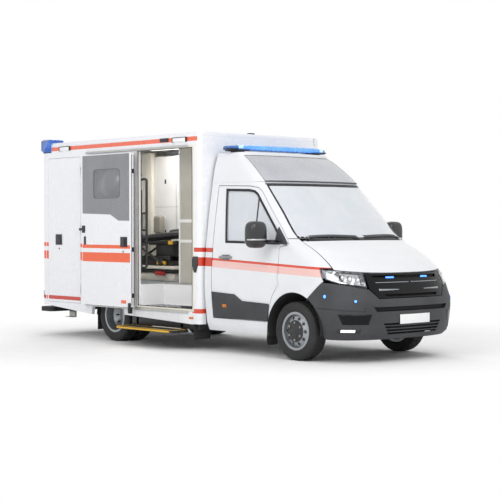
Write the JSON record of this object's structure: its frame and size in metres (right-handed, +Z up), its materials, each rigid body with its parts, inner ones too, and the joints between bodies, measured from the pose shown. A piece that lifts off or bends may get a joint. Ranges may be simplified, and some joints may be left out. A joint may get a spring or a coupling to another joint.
{
  "type": "box-bodied ambulance",
  "caption": "Box-bodied emergency ambulance on a chassis cab: open sliding side door, hinged cab, rear and locker doors, bonnet, steered front and twin rear wheels, fitted patient compartment.",
  "frame": {"origin": "on the ground, halfway along the overall length, on the centre line", "axes": "+X forward, +Y to the vehicle's left, +Z up"},
  "size_m": [6.5202, 2.6872, 2.855],
  "materials": {
    "frame_paint": "satin black paint on steel",
    "cast_metal": "cast, unpainted",
    "tank_plastic": "moulded, matt",
    "exhaust_steel": "dull steel tube",
    "cab_paint": "white gloss paint",
    "spoiler_shell": "white painted glass-fibre shell",
    "spoiler_grey": "grey painted panel",
    "grey_plastic": "grained dark grey plastic",
    "grille_black": "black",
    "lamp_clear": "clear cover over a bright lamp body",
    "pane": "clear safety glass",
    "cab_trim": "grained plastic",
    "seat_fabric": "woven cover",
    "blue_lamp": "translucent blue cover",
    "floor_panel": "sheet floor on board",
    "body_panel": "white gel-coated sandwich panel with orange stripes",
    "grey_film": "grey film over panel and window",
    "cupboard_board": "coated board",
    "stretcher_cover": "coated cover on foam",
    "rail_plastic": "coated tube",
    "step_rubber": "ribbed black rubber",
    "wheel_steel": "silver paint on pressed steel",
    "tyre_rubber": "tyre rubber"
  },
  "bodies": {
    "vehicle": {"chassis_frame": "frame_paint", "front_axle": "frame_paint", "rear_axle": "frame_paint", "engine_block": "cast_metal", "fuel_tank": "tank_plastic", "exhaust": "exhaust_steel", "cab_tub": "cab_paint", "body_side_left": "cab_paint", "body_side_right": "cab_paint", "front_wings": "cab_paint", "roof_spoiler": "spoiler_shell", "spoiler_panel": "spoiler_grey", "front_bumper": "grey_plastic", "grille": "grille_black", "cowl_and_wipers": "grille_black", "headlamps": "lamp_clear", "windscreen": "pane", "dashboard": "cab_trim", "seats": "seat_fabric", "light_bar": "blue_lamp", "corner_lamps": "blue_lamp", "box_floor": "floor_panel", "box_left_wall": "body_panel", "box_right_wall": "body_panel", "box_front_wall": "body_panel", "box_rear_frame": "body_panel", "box_roof": "body_panel", "side_door": "body_panel", "side_door_glass": "grey_film", "locker_liner": "cupboard_board", "left_cabinet": "cupboard_board", "front_cupboard": "cupboard_board", "stretcher": "stretcher_cover", "grab_rails": "rail_plastic", "side_step": "step_rubber", "rear_step": "step_rubber", "mud_guards": "step_rubber"},
    "steering_wheel": {"steering_wheel": "cab_trim"},
    "knuckle_left": {"knuckle_left": "frame_paint"},
    "knuckle_right": {"knuckle_right": "frame_paint"},
    "front_wheel_left": {"front_rim_left": "wheel_steel", "front_tyre_left": "tyre_rubber"},
    "front_wheel_right": {"front_rim_right": "wheel_steel", "front_tyre_right": "tyre_rubber"},
    "rear_wheels_left": {"rear_rims_left": "wheel_steel", "rear_tyres_left": "tyre_rubber"},
    "rear_wheels_right": {"rear_rims_right": "wheel_steel", "rear_tyres_right": "tyre_rubber"},
    "cab_door_left": {"door_left": "cab_paint", "door_glass_left": "pane", "door_trim_left": "grey_plastic"},
    "cab_door_right": {"door_right": "cab_paint", "door_glass_right": "pane", "door_trim_right": "grey_plastic"},
    "rear_door_left": {"rear_door_left": "body_panel", "rear_glass_left": "pane"},
    "rear_door_right": {"rear_door_right": "body_panel", "rear_glass_right": "pane"},
    "locker_door": {"locker_door": "body_panel"},
    "bonnet": {"bonnet": "cab_paint"}
  },
  "joints": [
    {"name": "steer_left", "type": "hinge", "parent": "vehicle", "child": "knuckle_left", "pos_m": [2.24, 0.8, 0.35], "axis": [0, 0, 1], "range_deg": [-35, 35]},
    {"name": "steer_right", "type": "hinge", "parent": "vehicle", "child": "knuckle_right", "pos_m": [2.24, -0.8, 0.35], "axis": [0, 0, 1], "range_deg": [-35, 35]},
    {"name": "steering_wheel_turn", "type": "hinge", "parent": "vehicle", "child": "steering_wheel", "pos_m": [1.54, 0.4, 1.22], "axis": [-0.7071, 0, 0.7071], "range_deg": [-490, 490]},
    {"name": "front_wheel_left_spin", "type": "hinge", "parent": "knuckle_left", "child": "front_wheel_left", "pos_m": [2.24, 0.88, 0.35], "axis": [0, 1, 0], "continuous": true},
    {"name": "front_wheel_right_spin", "type": "hinge", "parent": "knuckle_right", "child": "front_wheel_right", "pos_m": [2.24, -0.88, 0.35], "axis": [0, 1, 0], "continuous": true},
    {"name": "rear_wheels_left_spin", "type": "hinge", "parent": "vehicle", "child": "rear_wheels_left", "pos_m": [-1.4, 0.862, 0.35], "axis": [0, 1, 0], "continuous": true},
    {"name": "rear_wheels_right_spin", "type": "hinge", "parent": "vehicle", "child": "rear_wheels_right", "pos_m": [-1.4, -0.862, 0.35], "axis": [0, 1, 0], "continuous": true},
    {"name": "cab_door_left_open", "type": "hinge", "parent": "vehicle", "child": "cab_door_left", "pos_m": [1.976, 1.018, 0.97], "axis": [0, 0, -1], "range_deg": [0, 68]},
    {"name": "cab_door_right_open", "type": "hinge", "parent": "vehicle", "child": "cab_door_right", "pos_m": [1.976, -1.018, 0.97], "axis": [0, 0, 1], "range_deg": [0, 68]},
    {"name": "rear_door_left_open", "type": "hinge", "parent": "vehicle", "child": "rear_door_left", "pos_m": [-2.998, 0.995, 1.56], "axis": [0, 0, -1], "range_deg": [0, 105]},
    {"name": "rear_door_right_open", "type": "hinge", "parent": "vehicle", "child": "rear_door_right", "pos_m": [-2.998, -0.995, 1.56], "axis": [0, 0, 1], "range_deg": [0, 105]},
    {"name": "locker_door_open", "type": "hinge", "parent": "vehicle", "child": "locker_door", "pos_m": [-2.06, -1.076, 1.54], "axis": [0, 0, 1], "range_deg": [0, 85]},
    {"name": "bonnet_open", "type": "hinge", "parent": "vehicle", "child": "bonnet", "pos_m": [2.24, 0, 1.403], "axis": [0, -1, 0], "range_deg": [0, 55]}
  ],
  "couplings": [
    {"joint": "steer_right", "follows": "steer_left", "ratio": 1},
    {"joint": "steering_wheel_turn", "follows": "steer_left", "ratio": 14}
  ]
}
